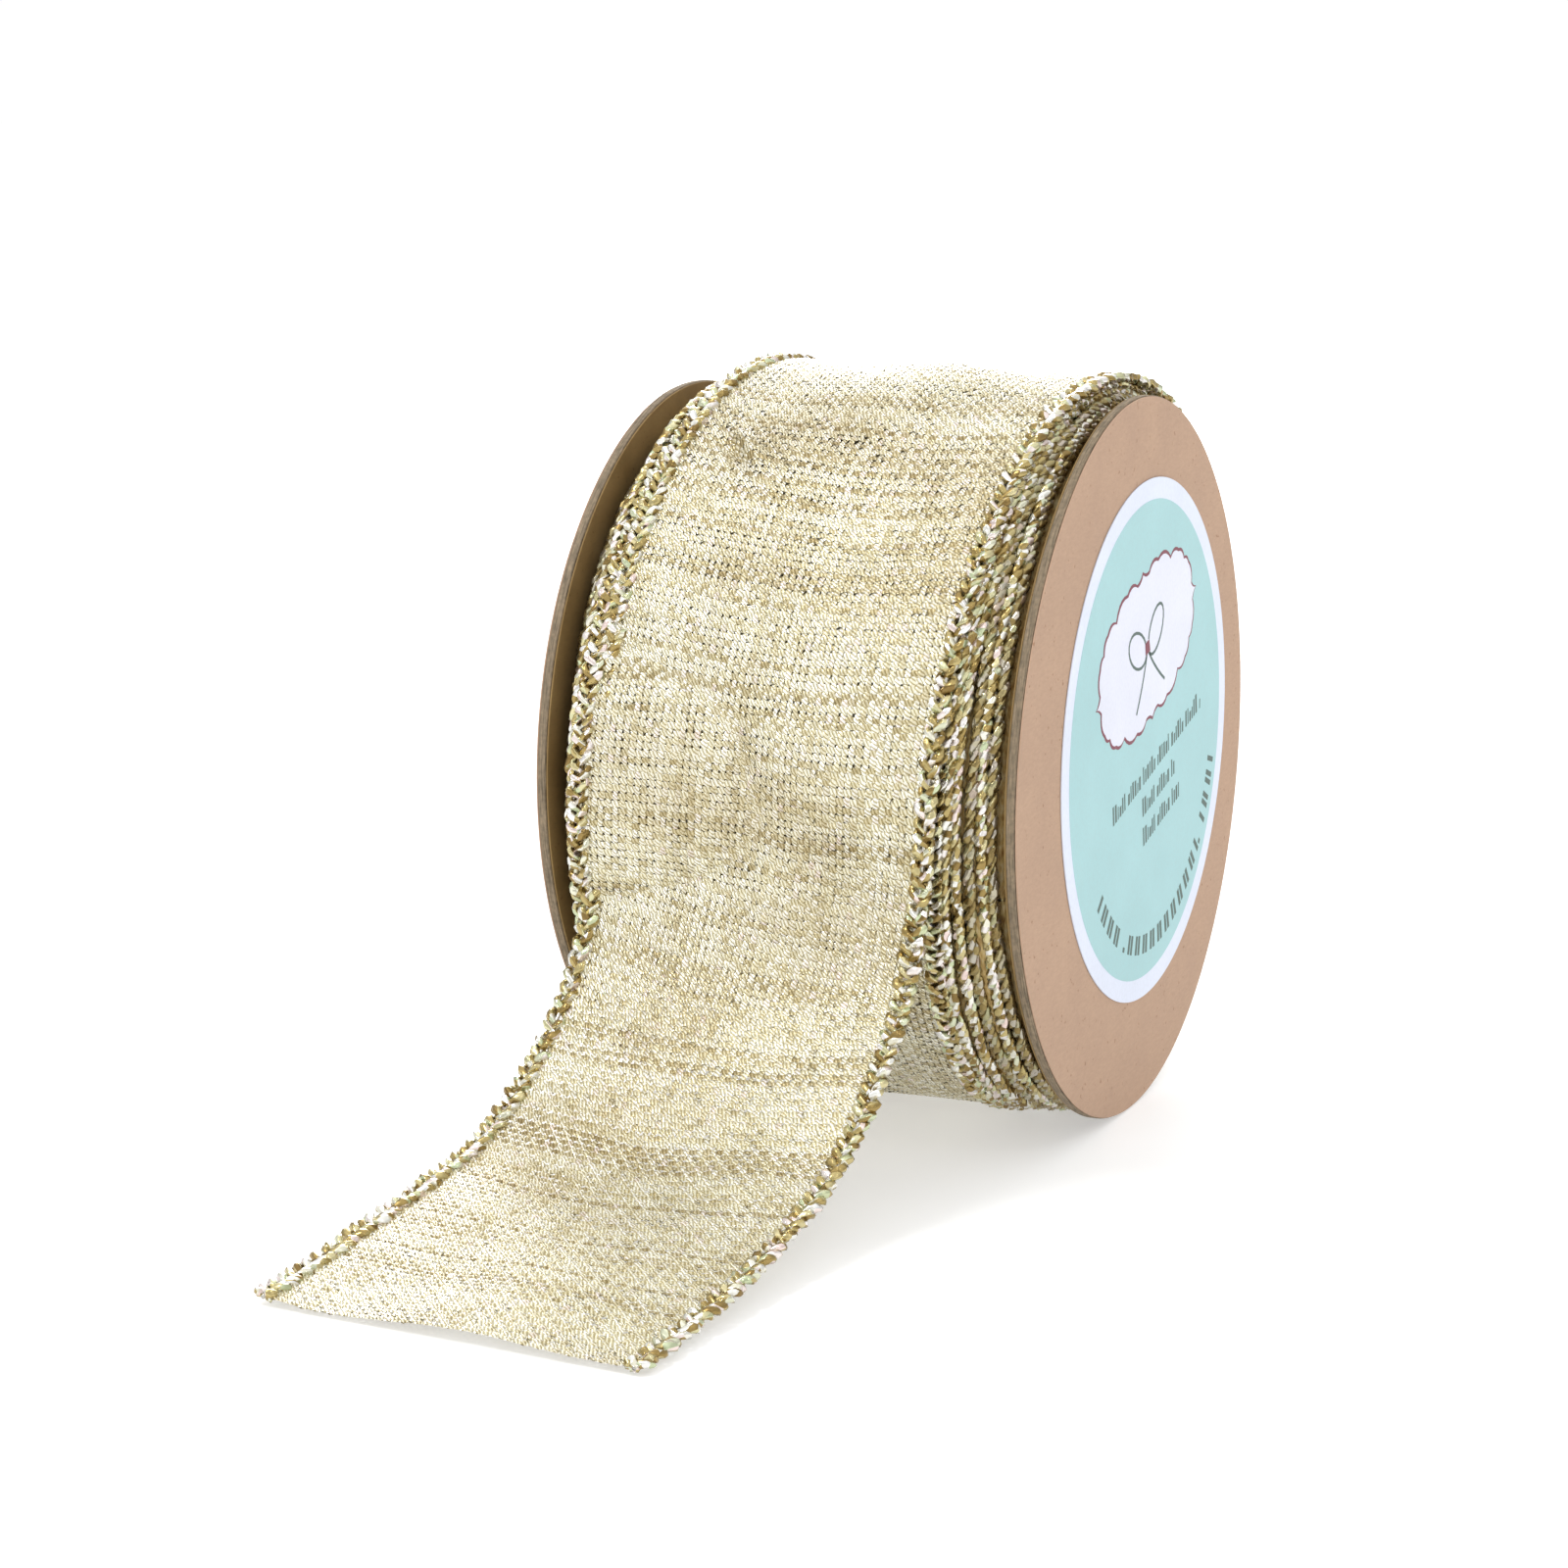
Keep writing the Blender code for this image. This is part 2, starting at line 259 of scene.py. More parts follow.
def ply_twist(tree, across, along):
    """Slanting stripes over each cell, as film wraps round its core: 0 in the grooves and 1 on the film."""
    turned = add_node(tree, "ShaderNodeVectorMath", operation="DOT_PRODUCT")
    tree.links.new(cell_place(tree), turned.inputs[0])
    turned.inputs[1].default_value = (2 * math.pi * across, 2 * math.pi * along, 0)
    wave = add_node(tree, "ShaderNodeMath", operation="SINE")
    tree.links.new(turned.outputs["Value"], wave.inputs[0])
    return levels(tree, wave.outputs["Value"], -1, 1, 0, 1)


def lurex(name, stops, roughness, seed, uneven, groove):
    """Slit metallic film thread: each float takes its own tone and gloss. uneven is how far whole threads
    differ, and groove is the painted shade in the grooves between the wraps; soft darker bands are painted
    shade too."""
    made, tree, shader = new_material(name)
    draw = cell_draw(tree, seed)
    colour = shades(tree, draw, *stops)
    by_thread = cell_draw(tree, seed + 3.0, (1, 0, 0))
    threads = shades(tree, by_thread, (0.0, (0.56, 0.48, 0.33)), (0.30, (0.86, 0.82, 0.71)),
                     (0.50, (1, 1, 1)))
    colour = mixed(tree, "MULTIPLY", colour, threads, uneven)
    # Soft darker bands over the web: painted shade of broad folds.
    bands = grain(tree, stretched(tree, object_place(tree), (0, 0, 0), (0.5, 1, 1)), 75.0, 2.0)
    bands = shades(tree, bands, (0.38, (0.80, 0.75, 0.67)), (0.54, (1, 1, 1)))
    colour = mixed(tree, "MULTIPLY", colour, bands, 0.7)
    twist = ply_twist(tree, 1.0, 2.0)
    # The grooves between the wraps are darkened to the groove colour: painted shade.
    colour = mixed(tree, "MULTIPLY", colour, shades(tree, twist, (0.10, groove), (0.55, (1, 1, 1))), 1.0)
    raised(tree, shader, twist, 0.06 * MM, 0.8)
    tree.links.new(colour, shader.inputs["Base Color"])
    shine = cell_draw(tree, seed + 7.0)
    tree.links.new(levels(tree, shine, 0, 1, *roughness), shader.inputs["Roughness"])
    shader.inputs["Metallic"].default_value = 0.55
    return made


def glitter(name, dim, calm):
    """Overlock thread: crinkled film that breaks the light into small flat glints of gold, silver and green.
    dim darkens it as painted shade, for edges deep between the turns, and calm draws its colours towards
    plain gold."""
    made, tree, shader = new_material(name)
    chips = add_node(tree, "ShaderNodeTexVoronoi", Scale=1.0, feature="F1", voronoi_dimensions="2D")
    tree.links.new(stretched(tree, cell_place(tree), (0, 0, 0.35), (0.62, 0.55, 1.0)), chips.inputs["Vector"])
    split = tree.nodes.new("ShaderNodeSeparateColor")
    tree.links.new(chips.outputs["Color"], split.inputs["Color"])
    stops = [(place, tuple(dim * (part + (mid - part) * calm) for part, mid in zip(colour, GOLD)))
             for place, colour in CHIP_SHADES]
    tree.links.new(shades(tree, split.outputs["Red"], *stops), shader.inputs["Base Color"])
    tree.links.new(levels(tree, split.outputs["Green"], 0, 1, 0.10, 0.38), shader.inputs["Roughness"])
    shader.inputs["Metallic"].default_value = 0.85
    raised(tree, shader, chips.outputs["Distance"], 0.16 * MM, 0.8)
    return made


def make_materials():
    looks = {}
    # Each lurex's last colour is the painted shade in its grooves.
    looks["warp"] = lurex("lurex_warp", WARP_SHADES, (0.10, 0.34), 1.0, 0.35, (0.50, 0.44, 0.28))
    looks["weft"] = lurex("lurex_weft", WEFT_SHADES, (0.12, 0.38), 3.0, 0.90, (0.52, 0.46, 0.30))
    looks["edge"] = glitter("lurex_edge", 1.0, 0.15)
    # The wound edges are the edge thread darkened: painted shade for rows deep between the turns.
    looks["wound_edge"] = glitter("lurex_wound_edge_painted_shade", 0.72, 0.50)
    # The flanges' inner liners: kraft darkened to brown-gold, as painted shade and a painted gold reflection
    # of the ribbon.
    looks["liner_painted_shade"] = kraft("flange_inside_painted_shade", (0.235, 0.145, 0.048), (0.340, 0.220, 0.085))
    looks["under"] = underlay()
    looks["kraft"] = kraft()
    looks["board"] = board()
    looks["core"] = core_paper()
    looks["label"] = print_stock("label_border", (0.74, 0.79, 0.92), 0.42)
    looks["mint"] = print_stock("label_mint", (0.380, 0.632, 0.650), 0.45)
    looks["plate"] = print_stock("label_plate", (0.77, 0.79, 0.90), 0.42)
    looks["maroon"] = print_stock("label_maroon", (0.22, 0.045, 0.07), 0.5)
    looks["ink"] = print_stock("label_ink", (0.085, 0.135, 0.115), 0.5)
    looks["wire"] = wire()
    looks["glue"] = glue()
    looks["tape"] = tape()
    return looks


def underlay():
    """The wound ribbon seen through the gaps of the turns above it, its gold painted dark brown as painted
    shade.
    """
    made, tree, shader = new_material("wound_lurex_painted_shade")
    where = object_place(tree)
    bands = grain(tree, stretched(tree, where, (0, 0, 0), (1.0, 0.35, 0.35)), 2600.0, 2.0)
    colour = shades(tree, bands, (0.32, (0.36, 0.21, 0.065)), (0.52, (0.60, 0.43, 0.17)),
                    (0.72, (0.76, 0.64, 0.36)))
    tree.links.new(colour, shader.inputs["Base Color"])
    shader.inputs["Metallic"].default_value = 0.35
    shader.inputs["Roughness"].default_value = 0.45
    raised(tree, shader, bands, 0.12 * MM, 0.7)
    return made


def kraft(name="kraft_paper", low=(0.462, 0.301, 0.204), high=(0.504, 0.334, 0.229)):
    made, tree, shader = new_material(name)
    where = object_place(tree)
    cloudy = grain(tree, where, 150.0, 4.0)
    fibre_a = grain(tree, stretched(tree, where, (0.7, 0, 0), (1, 0.30, 1)), 3600.0, 3.0, 0.75)
    fibre_b = grain(tree, stretched(tree, where, (-0.5, 0, 0), (1, 1, 0.30)), 3900.0, 3.0, 0.75)
    flecks = grain(tree, where, 1700.0, 1.0)
    base = shades(tree, cloudy, (0.32, low), (0.70, high))
    fibres = mixed(tree, "MULTIPLY", fibre_a, fibre_b, 0.5)
    toned = mixed(tree, "OVERLAY", base, shades(tree, fibres, (0.25, (0.38,) * 3), (0.60, (0.60,) * 3)), 0.30)
    specks = shades(tree, flecks, (0.71, (1, 1, 1)), (0.77, (0.62, 0.50, 0.40)))
    tree.links.new(mixed(tree, "MULTIPLY", toned, specks, 0.8), shader.inputs["Base Color"])
    tree.links.new(levels(tree, cloudy, 0.2, 0.8, 0.70, 0.88), shader.inputs["Roughness"])
    raised(tree, shader, fibres, 0.02 * MM, 0.4)
    return made


def board():
    """Grey board: pressed pulp layers on the cut edge."""
    made, tree, shader = new_material("grey_board")
    where = object_place(tree)
    plies = grain(tree, stretched(tree, where, (0, 0, 0), (9, 0.5, 0.5)), 900.0, 3.0, 0.6)
    pulp = grain(tree, where, 2200.0, 3.0)
    layers = shades(tree, plies, (0.30, (0.120, 0.095, 0.062)), (0.52, (0.235, 0.180, 0.118)),
                    (0.72, (0.330, 0.250, 0.165)))
    tree.links.new(mixed(tree, "OVERLAY", layers, pulp, 0.5), shader.inputs["Base Color"])
    shader.inputs["Roughness"].default_value = 0.9
    raised(tree, shader, plies, 0.12 * MM, 0.8)
    return made


def core_paper():
    made, tree, shader = new_material("core_paper")
    where = object_place(tree)
    cloudy = grain(tree, where, 260.0, 3.0)
    fibre = grain(tree, stretched(tree, where, (0, 0.4, 0), (0.2, 1, 1)), 2400.0, 3.0, 0.7)
    base = shades(tree, cloudy, (0.3, (0.34, 0.265, 0.185)), (0.7, (0.45, 0.36, 0.26)))
    tree.links.new(mixed(tree, "OVERLAY", base, fibre, 0.35), shader.inputs["Base Color"])
    shader.inputs["Roughness"].default_value = 0.85
    raised(tree, shader, fibre, 0.05 * MM, 0.5)
    return made


def print_stock(name, colour, roughness):
    """Printed label paper: a light tooth under a satin coat."""
    made, tree, shader = new_material(name)
    where = object_place(tree)
    tooth = grain(tree, where, 2600.0, 3.0)
    cloud = grain(tree, where, 110.0, 2.0)
    dark = tuple(0.94 * part for part in colour)
    base = shades(tree, cloud, (0.3, dark), (0.7, colour))
    pits = shades(tree, tooth, (0.3, (0.93,) * 3), (0.6, (1, 1, 1)))
    tree.links.new(mixed(tree, "MULTIPLY", base, pits, 0.8), shader.inputs["Base Color"])
    tree.links.new(levels(tree, tooth, 0.2, 0.8, roughness, roughness + 0.18), shader.inputs["Roughness"])
    raised(tree, shader, tooth, 0.02 * MM, 0.3)
    return made


def wire():
    made, tree, shader = new_material("edge_wire")
    drawn = grain(tree, stretched(tree, object_place(tree), (0, 0, 0), (1, 0.2, 0.2)), 3000.0, 2.0)
    tree.links.new(shades(tree, drawn, (0.3, (0.42, 0.40, 0.36)), (0.7, (0.66, 0.64, 0.58))),
                   shader.inputs["Base Color"])
    shader.inputs["Metallic"].default_value = 1.0
    tree.links.new(levels(tree, drawn, 0.2, 0.8, 0.25, 0.42), shader.inputs["Roughness"])
    return made


def glue():
    made, tree, shader = new_material("dried_glue")
    cloud = grain(tree, object_place(tree), 700.0, 3.0)
    tree.links.new(shades(tree, cloud, (0.3, (0.52, 0.42, 0.26)), (0.7, (0.70, 0.62, 0.44))),
                   shader.inputs["Base Color"])
    shader.inputs["Roughness"].default_value = 0.3
    raised(tree, shader, cloud, 0.2 * MM, 0.5)
    return made


def tape():
    made, tree, shader = new_material("start_tape")
    cloud = grain(tree, object_place(tree), 500.0, 2.0)
    tree.links.new(shades(tree, cloud, (0.3, (0.62, 0.56, 0.42)), (0.7, (0.74, 0.68, 0.54))),
                   shader.inputs["Base Color"])
    shader.inputs["Roughness"].default_value = 0.35
    return made


# ---------------------------------------------------------------- lines that ribbon follows

def turn_radius(angle):
    lift = 0.5 + 0.5 * math.sin(angle)
    return TURN_BOTTOM_R + (TURN_TOP_R - TURN_BOTTOM_R) * lift ** TURN_SWELL


def on_turn(angle):
    radius = turn_radius(angle)
    return Vector((radius * math.cos(angle), FLANGE_R + radius * math.sin(angle)))


def smooth_route(points, steps):
    """Evenly stepped points on a smooth curve from the second point to the last but one."""
    out = []
    for p0, p1, p2, p3 in zip(points, points[1:], points[2:], points[3:]):
        for step in range(steps):
            t = step / steps
            a = 2 * p1
            b = (p2 - p0) * t
            c = (2 * p0 - 5 * p1 + 4 * p2 - p3) * t * t
            d = (3 * p1 - p0 - 3 * p2 + p3) * t ** 3
            out.append((a + b + c + d) / 2)
    out.append(points[-2])
    return out


def ribbon_side_view():
    """The free ribbon from its cut end to the end of its outer turn, seen along the spool's axis."""
    count = round((TURN_END - TURN_START) / TURN_STEP)
    turn = [on_turn(TURN_START + TURN_STEP * i) for i in range(count + 1)]
    route = [Vector(p) * MM for p in TAIL_ROUTE]
    beyond = route[-1] + (route[-1] - route[-2])
    before = on_turn(TURN_START + math.radians(5.0))
    tail = smooth_route([before, turn[0]] + route + [beyond], TAIL_STEPS)
    return tail[::-1] + turn[1:]


def eased(value, start, end):
    """0 before start, 1 after end, and smooth between them."""
    t = min(1.0, max(0.0, (value - start) / (end - start)))
    return t * t * (3 - 2 * t)


def loose_middle(angle):
    """Where the second turn's middle lies along the axis, from the spool's middle."""
    return SWAY_MIDDLE + SWAY_UP * math.sin(angle) + SWAY_FRONT * math.cos(angle)


def loose_radius(angle, number):
    """The radius of loose turn number, counted inwards from the outer turn."""
    return LOOSE_INNER_R + (turn_radius(angle) - LOOSE_INNER_R) * (1 - number / LOOSE_TURNS)


def pinched(length):
    """How far the outer turn is drawn in sideways at this length from the cut end, from 0 to 1."""
    return eased(length, PINCH_START, PINCH_END) * (1 - 0.5 * eased(length, 2 * PINCH_START, 2 * PINCH_END))


def free_ribbon_line():
    """(length, middle, across, outward) of the free ribbon, one row for each station."""
    middle, lengths = [], []
    for front, height in ribbon_side_view():
        length = 0.0
        if middle:
            length = lengths[-1] + math.hypot(front + middle[-1].y, height - middle[-1].z)
        drift = max(0.0, 1 - length / DRIFT_LENGTH) ** DRIFT_POWER
        angle = math.atan2(height - FLANGE_R, front) % (2 * math.pi)
        back = eased(angle, DRIFT_BACK, TURN_END) if length > DRIFT_LENGTH / 2 else 0.0
        x = TURN_X - DRIFT * drift + PINCH / 2 * pinched(length)
        middle.append(Vector((x + back * (loose_middle(TURN_END) - x), -front, height)))
        lengths.append(length)
    across, outward = [], []
    for i, length in enumerate(lengths):
        along = (middle[min(i + 1, len(middle) - 1)] - middle[max(i - 1, 0)]).normalized()
        side = Vector((1, 0, 0))
        side = (side - along * side.dot(along)).normalized()
        bump = math.cos(math.pi / 2 * min(1.0, abs(length - TWIST_CENTRE) / TWIST_REACH)) ** 2
        top = math.cos(math.pi / 2 * min(1.0, abs(length - ROLL_CENTRE) / ROLL_REACH)) ** 2
        side.rotate(Quaternion(along, TWIST * bump + ROLL * top))
        across.append(side * (1 - PINCH / RIBBON_W * pinched(length)))
        outward.append(side.cross(along))
    ground = Vector((SPOOL_AXIS.x, SPOOL_AXIS.y, SPOOL_AXIS.z - FLANGE_R))
    middle = [point + ground for point in middle]
    return np.array(lengths), np.array(middle), np.array(across), np.array(outward)


def round_line(first, last, radius_at, middle_at, step=TURN_STEP):
    """A stretch of ribbon round the spool between two angles; 0 is the front and a quarter turn the top."""
    lengths, middle, across, outward = [0.0], [], [], []
    count = round((last - first) / step)
    for i in range(count + 1):
        angle = first + (last - first) * i / count
        out = Vector((0, -math.cos(angle), math.sin(angle)))
        middle.append(SPOOL_AXIS + out * radius_at(angle) + Vector((middle_at(angle), 0, 0)))
        if i:
            lengths.append(lengths[-1] + (middle[-1] - middle[-2]).length)
        across.append(Vector((1, 0, 0)))
        outward.append(out)
    return np.array(lengths), np.array(middle), np.array(across), np.array(outward)


def second_turn_line():
    """The ribbon from the end of the outer turn, up under it and round to where it is out of sight."""
    def radius_at(angle):
        number = eased(angle, TURN_END, SECOND_TURN_SETTLES)
        number += 0.5 * eased(angle, SECOND_TURN_SETTLES, SECOND_TURN_END)
        return loose_radius(angle, number)

    return round_line(TURN_END, SECOND_TURN_END, radius_at, loose_middle)


def on_line(line, along, aside, lift):
    """Points at these lengths along a line, this far aside of it and this high above it."""
    length, *parts = line
    middle, across, outward = [
        np.stack([np.interp(along, length, part[:, axis]) for axis in range(3)], axis=-1) for part in parts]
    return middle + across * aside[..., None] + outward * lift[..., None]


# ---------------------------------------------------------------- mesh builders

def finish_piece(name, mesh, look):
    piece = bpy.data.objects.new(name, mesh)
    bpy.context.scene.collection.objects.link(piece)
    mesh.materials.append(look)
    return piece


def laid_grid(columns, rows, place, thread=0, cells=None):
    """A flat grid of faces, laid where place(column, row) says. With thread, the column of faces after every
    that many is cut out, so the grid falls into threads."""
    bm = bmesh.new()
    bmesh.ops.create_grid(bm, x_segments=columns, y_segments=rows, size=0.5)
    if thread:
        cut = [f for f in bm.faces
               if round((f.calc_center_median().x + 0.5) * columns - 0.5) % (thread + 1) == thread]
        bmesh.ops.delete(bm, geom=cut, context="FACES")
    mesh = bpy.data.meshes.new("grid")
    bm.to_mesh(mesh)
    bm.free()
    spots = np.empty(len(mesh.vertices) * 3, np.float32)
    mesh.vertices.foreach_get("co", spots)
    spots = spots.reshape(-1, 3)
    column = np.rint((spots[:, 0] + 0.5) * columns).astype(int)
    row = np.rint((spots[:, 1] + 0.5) * rows).astype(int)
    corner = np.empty(len(mesh.loops), np.int32)
    mesh.loops.foreach_get("vertex_index", corner)
    across, along = cells(column, row) if cells else (column * 1.0, row * 1.0)
    uv = np.stack([across[corner], along[corner]], 1)
    mesh.uv_layers.new(name="cells").data.foreach_set("uv", uv.astype(np.float32).ravel())
    mesh.vertices.foreach_set("co", place(column, row).astype(np.float32).ravel())
    mesh.update()
    return mesh


def joined(name, meshes, weld=0.0, fill=False):
    """Several meshes as one smooth mesh, welded where their corners meet and with its open ends filled."""
    bm = bmesh.new()
    for mesh in meshes:
        bm.from_mesh(mesh)
        bpy.data.meshes.remove(mesh)
    if weld:
        bmesh.ops.remove_doubles(bm, verts=bm.verts, dist=weld)
    if fill:
        bmesh.ops.holes_fill(bm, edges=[e for e in bm.edges if e.is_boundary], sides=0)
    for face in bm.faces:
        face.smooth = True
    made = bpy.data.meshes.new(name)
    bm.to_mesh(made)
    bm.free()
    return made


def wrinkles(along, aside, strength):
    """How far the web stands off its line: soft folds that die out towards the wired edges, and one crease.
    x and y are along and across in mm; over and down are across the crease and along it."""
    inside = np.clip(1 - (np.abs(aside) / WEB_HALF) ** 4, 0, 1)
    x, y = along / MM, aside / MM
    folds = 0.38 * np.sin(x / 6.1 + 0.9 * np.sin(y / 6.0)) + 0.36 * np.sin(x / 9.3 - y / 4.7 + 1.3)
    folds += 0.16 * np.sin(x / 2.3 + y / 3.1 + 2.0) * np.sin(x / 17.0)
    over = (x - CREASE_AT[0]) * CREASE_LEAN[0] + (y - CREASE_AT[1]) * CREASE_LEAN[1]
    down = (x - CREASE_AT[0]) * CREASE_LEAN[1] - (y - CREASE_AT[1]) * CREASE_LEAN[0]
    ridge, valley = np.exp(-((over - 1.5) / 0.8) ** 2), np.exp(-(over / 0.8) ** 2)
    folds += (1.25 * ridge - 0.95 * valley) * np.exp(-(down / 3.2) ** 2)
    return folds * inside * strength * MM


def wander(chance, threads, length, reach, wave):
    """How far each thread strays from straight: a slow random curve, as a function of (thread, along)."""
    knots = int(length / wave) + 3
    pull = chance.normal(0, reach, (threads, knots))
    pull = (pull + np.roll(pull, 1, 0) + np.roll(pull, -1, 0)) / 1.8
    grid, step = np.linspace(0, length, knots), length / (knots - 1)

    def stray(thread, along):
        share = (along % step) / step
        before = np.clip(np.searchsorted(grid, along) - 1, 0, knots - 2)
        after = np.clip(np.searchsorted(grid, along), 1, knots - 1)
        return pull[thread, before] * (1 - share) + pull[thread, after] * share

    return stray


def woven_web(name, line, length, strength, seed, cut):
    """Plain weave: film threads along and across, each riding over and under in turn, as (warp, weft) meshes.
    With cut, the line starts at the cut end, and the weft bows more and more over its first 30 mm; without,
    the weft runs straight."""
    chance = np.random.default_rng(seed)
    warps = int(2 * WEB_HALF / THREAD_PITCH)
    wefts = int(length / THREAD_PITCH) // 2 * 2
    pitch_x, pitch_y = 2 * WEB_HALF / warps, length / wefts
    weft_shift = chance.normal(0, 0.05 * MM, wefts)
    warp_width = WARP_W * chance.uniform(0.84, 1.12, warps)
    weft_width = WEFT_W * chance.uniform(0.80, 1.12, wefts)
    warp_stray = wander(chance, warps, length, 0.085 * MM, 4.0 * MM)
    weft_stray = wander(chance, wefts, 2 * WEB_HALF, 0.085 * MM, 4.0 * MM)
    tilt = chance.normal(0, 0.050 * MM, (warps, wefts + 1))
    slant = chance.normal(0, 0.045 * MM, (warps + 1, wefts + 1))

    def placed(along, aside, lift):
        ease = np.clip(along / WEFT_BOW_EASE, 0, 1) if cut else 0.0
        along = along - WEFT_BOW * ease * (1 - (aside / WEB_HALF) ** 2)
        along = np.clip(along, 0, length)
        return on_line(line, along, aside, lift + wrinkles(along, aside, strength))

    def warp_place(column, row):
        thread, side = column // 3, (column % 3) - 1.0
        pick = np.minimum(row // 2, wefts - 1)
        between = row % 2
        over = np.where((thread + pick) % 2 == 0, 1.0, -1.0) * between
        along = row * pitch_y / 2
        aside = -WEB_HALF + (thread + 0.5) * pitch_x + warp_stray(thread, along)
        aside = aside + side * warp_width[thread] / 2 + slant[thread, row // 2] * between
        lift = over * THREAD_RISE + side * tilt[thread, pick] * between + CROWN * (1 - abs(side))
        return placed(along, aside, lift)

    def weft_place(column, row):
        thread, side = column // 3, (column % 3) - 1.0
        end = np.minimum(row // 2, warps - 1)
        between = row % 2
        over = np.where((thread + end) % 2 == 0, -1.0, 1.0) * between
        across = row * pitch_x / 2
        along = (thread + 0.5) * pitch_y + weft_shift[thread] + weft_stray(thread, across)
        along = along + side * weft_width[thread] / 2 + slant[end, thread] * between
        lift = over * THREAD_RISE - side * tilt[end, thread] * between + CROWN * (1 - abs(side))
        return placed(along, -WEB_HALF + across, lift)

    def cells(column, row):
        return column // 3 + 0.5 + 0.49 * (column % 3 - 1.0), row * 0.5

    warp = laid_grid(3 * warps - 1, 2 * wefts, warp_place, 2, cells)
    weft = laid_grid(3 * wefts - 1, 2 * warps, weft_place, 2, cells)
    return joined(f"{name}_warp", [warp]), joined(f"{name}_weft", [weft])


def wavering(chance, count, every, reach):
    """A slow random curve of count + 1 values about zero that ends as it starts."""
    knots = max(3, int(count / every)) + 1
    pull = chance.normal(0, reach, knots)
    pull[-1] = pull[0]
    return np.interp(np.arange(count + 1), np.linspace(0, count, knots), pull)


def strand(line, route, length, thickness, sides, count, chance):
    """A tube of film thread that follows a line; route(along) gives its place aside, lift and swell."""
    along = np.arange(count + 1) * length / count
    aside, lift, swell = route(along)
    along = along + wavering(chance, count, 3, 0.06 * MM)
    aside = aside + wavering(chance, count, 5, 0.05 * MM)
    spots = np.stack([along, aside, lift], 1)
    ahead = np.gradient(spots, axis=0)
    ahead /= np.linalg.norm(ahead, axis=1)[:, None]
    up = np.array([0.0, 0.0, 1.0]) - ahead * ahead[:, 2:3]
    up /= np.linalg.norm(up, axis=1)[:, None]
    side = np.cross(ahead, up)
    uneven = chance.normal(1, 0.12, (sides, count + 1)) + wavering(chance, count, 4, 0.13)
    uneven[:, -1] = uneven[:, 0]
    shift = chance.uniform(0, 400)

    def place(column, row):
        turned = 2 * np.pi * (column % sides) / sides
        reach = (thickness * uneven[column % sides, row] * (1 + swell[row]))[:, None]
        spot = spots[row] + reach * (np.cos(turned)[:, None] * side[row] + np.sin(turned)[:, None] * up[row])
        return on_line(line, np.clip(spot[:, 0], line[0][0], line[0][-1]), spot[:, 1], spot[:, 2])

    return laid_grid(sides, count, place, cells=lambda column, row: (column + shift, row * 1.0))


def three_strands(name, line, seed, thread, period, steps, sides, uneven, laid, fill):
    """Three strands that follow a line; laid(turn, swing) gives one's place aside, lift and swell."""
    chance = np.random.default_rng(seed)
    length = float(line[0][-1])
    periods = round(length / period)
    turns, count = 2 * np.pi * periods / length, periods * steps
    parts = []
    for part in range(3):
        phase = 2 * np.pi * part / 3 + wavering(chance, count, 20, uneven[0])
        swing = 1 + wavering(chance, count, 9, uneven[1])

        def route(along):
            return laid(turns * along + phase, swing)

        parts.append(strand(line, route, length, thread, sides, count, chance))
    return joined(name, parts, weld=WELD, fill=fill)


def plait(name, line, centre, seed, height=PLAIT_LIFT, thread=PLAIT_THREAD):
    """Three strands plaited flat, as the stitched edge over the wire."""
    def laid(turn, swing):
        cross = np.sin(2 * turn)
        return centre + PLAIT_ASIDE * swing * np.sin(turn), height * cross, 0.26 * cross

    return three_strands(name, line, seed, thread, PLAIT_PERIOD, 14, 6, (0.35, 0.12), laid, True)


def rope(name, line, seed):
    """Three strands twisted round each other, as the edge of a wound turn seen from its side."""
    def laid(turn, swing):
        return ROPE_REACH * swing * np.sin(turn), ROPE_REACH * np.cos(turn), 0.20 * np.cos(turn)

    return three_strands(name, line, seed, ROPE_THREAD, ROPE_PERIOD, 12, 5, (0.30, 0.15), laid, False)


def wire_mesh(name, line, centre, sides=8, rows=220):
    """A round wire along a line."""
    length = float(line[0][-1])

    def place(column, row):
        turned = 2 * np.pi * (column % sides) / sides
        return on_line(line, row * length / rows, centre + WIRE_R * np.cos(turned), -WIRE_R * np.sin(turned))

    return joined(name, [laid_grid(sides, rows, place)], weld=WELD, fill=True)


def turned_ring(name, inner, outer, near, far, centre, ease=0.05 * MM, steps=192, oval=0.0):
    """A flat ring round the X axis with eased rims; oval is how far it stands out near the top."""
    bm = bmesh.new()
    corners = [(near, inner), (near, outer - ease), (near + ease, outer), (far - ease, outer),
               (far, outer - ease), (far, inner)]
    spots = [bm.verts.new((x, centre.y, centre.z + r)) for x, r in corners]
    edges = [bm.edges.new(pair) for pair in zip(spots, spots[1:] + spots[:1])]
    bmesh.ops.spin(bm, geom=spots + edges, cent=centre, axis=(1, 0, 0), angle=2 * math.pi, steps=steps,
                   use_merge=True)
    bmesh.ops.recalc_face_normals(bm, faces=bm.faces)
    for vert in bm.verts if oval else ():
        out = vert.co - centre
        angle = math.atan2(out.z, -out.y)
        lean = math.cos(math.pi / 2 * min(1.0, abs(angle - OVAL_AT) / OVAL_REACH)) ** 2
        share = max(0.0, (math.hypot(out.y, out.z) - BORE_R) / (FLANGE_R - BORE_R))
        vert.co += Vector((0, out.y, out.z)).normalized() * (oval * lean * share)
    mesh = bpy.data.meshes.new(name)
    bm.to_mesh(mesh)
    bm.free()
    mesh.shade_flat()
    return mesh


# ---------------------------------------------------------------- the pieces

